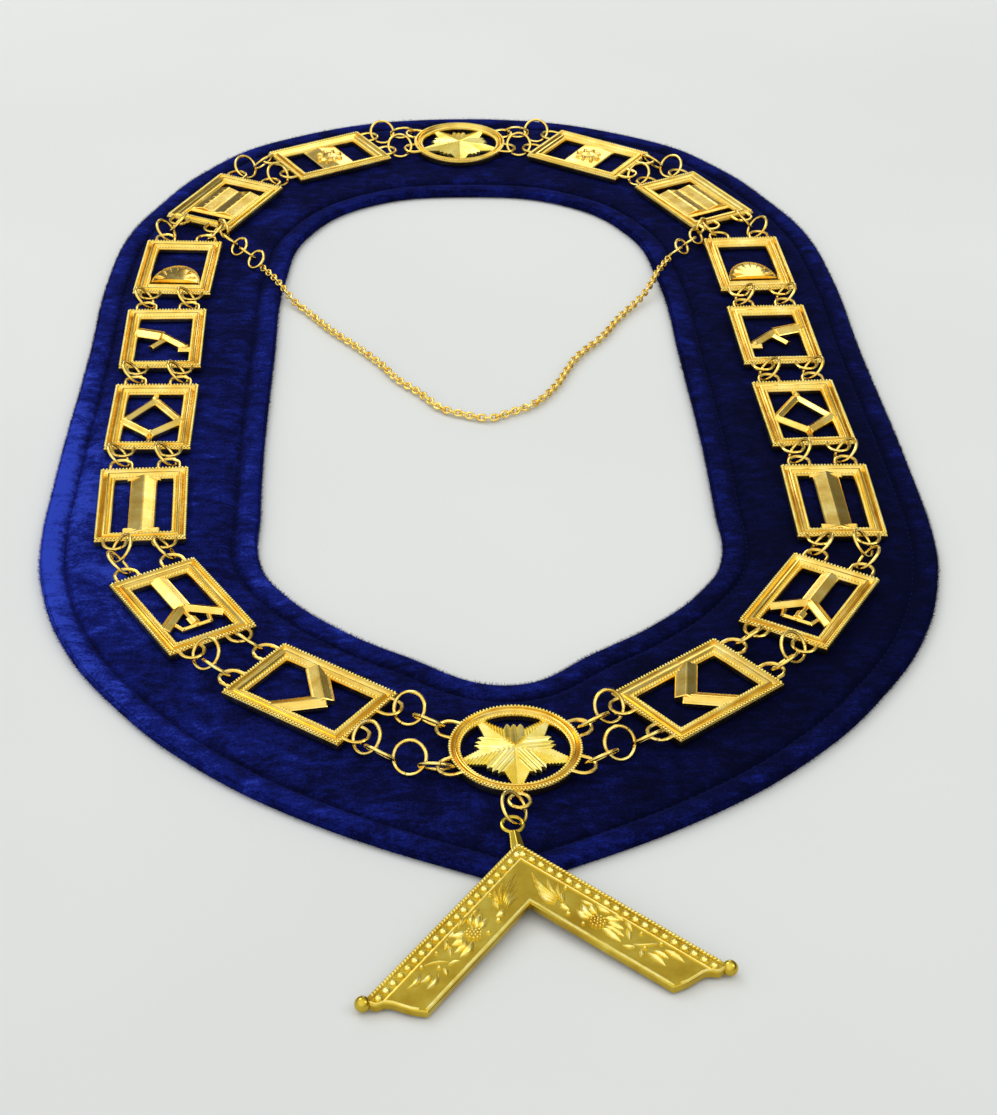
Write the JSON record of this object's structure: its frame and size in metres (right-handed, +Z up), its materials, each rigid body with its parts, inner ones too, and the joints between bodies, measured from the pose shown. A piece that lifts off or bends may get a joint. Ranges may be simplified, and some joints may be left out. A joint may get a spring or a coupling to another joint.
{
  "type": "chain of office",
  "caption": "Ceremonial chain of office: gilt pierced link plates and discs joined by jump rings on a velvet backing collar, with a square jewel and a thin chain across the opening.",
  "frame": {"origin": "centre of the bounding box on the flat back of the velvet, which is the base", "axes": "+Z up out of the velvet, +Y from the square jewel towards the far disc at the neck, +X to the right seen from the jewel's end"},
  "size_m": [0.2568, 0.4812, 0.0122],
  "materials": {
    "velvet": "soft crushed pile velvet, royal blue",
    "gilt_metal": "polished gilding, deep yellow gold"
  },
  "bodies": {
    "root": {"cross_chain": "gilt_metal", "far_disc": "gilt_metal", "front_disc": "gilt_metal", "jewel_ring": "gilt_metal", "left_chain_end": "gilt_metal", "left_plate_1_chevron": "gilt_metal", "left_plate_2_branch": "gilt_metal", "left_plate_3_column": "gilt_metal", "left_plate_4_lozenge": "gilt_metal", "left_plate_5_trowel": "gilt_metal", "left_plate_6_dome": "gilt_metal", "left_plate_7_book": "gilt_metal", "left_plate_8_rosette": "gilt_metal", "left_rings_1_inner": "gilt_metal", "left_rings_1_outer": "gilt_metal", "left_rings_2_inner": "gilt_metal", "left_rings_2_outer": "gilt_metal", "left_rings_3_inner": "gilt_metal", "left_rings_3_outer": "gilt_metal", "left_rings_4_inner": "gilt_metal", "left_rings_4_outer": "gilt_metal", "left_rings_5_inner": "gilt_metal", "left_rings_5_outer": "gilt_metal", "left_rings_6_inner": "gilt_metal", "left_rings_6_outer": "gilt_metal", "left_rings_7_inner": "gilt_metal", "left_rings_7_outer": "gilt_metal", "left_rings_8_inner": "gilt_metal", "left_rings_8_outer": "gilt_metal", "left_rings_9_inner": "gilt_metal", "left_rings_9_outer": "gilt_metal", "right_chain_end": "gilt_metal", "right_plate_1_chevron": "gilt_metal", "right_plate_2_branch": "gilt_metal", "right_plate_3_column": "gilt_metal", "right_plate_4_lozenge": "gilt_metal", "right_plate_5_trowel": "gilt_metal", "right_plate_6_dome": "gilt_metal", "right_plate_7_book": "gilt_metal", "right_plate_8_rosette": "gilt_metal", "right_rings_1_inner": "gilt_metal", "right_rings_1_outer": "gilt_metal", "right_rings_2_inner": "gilt_metal", "right_rings_2_outer": "gilt_metal", "right_rings_3_inner": "gilt_metal", "right_rings_3_outer": "gilt_metal", "right_rings_4_inner": "gilt_metal", "right_rings_4_outer": "gilt_metal", "right_rings_5_inner": "gilt_metal", "right_rings_5_outer": "gilt_metal", "right_rings_6_inner": "gilt_metal", "right_rings_6_outer": "gilt_metal", "right_rings_7_inner": "gilt_metal", "right_rings_7_outer": "gilt_metal", "right_rings_8_inner": "gilt_metal", "right_rings_8_outer": "gilt_metal", "right_rings_9_inner": "gilt_metal", "right_rings_9_outer": "gilt_metal", "square_jewel": "gilt_metal", "velvet_collar": "velvet"}
  },
  "joints": []
}
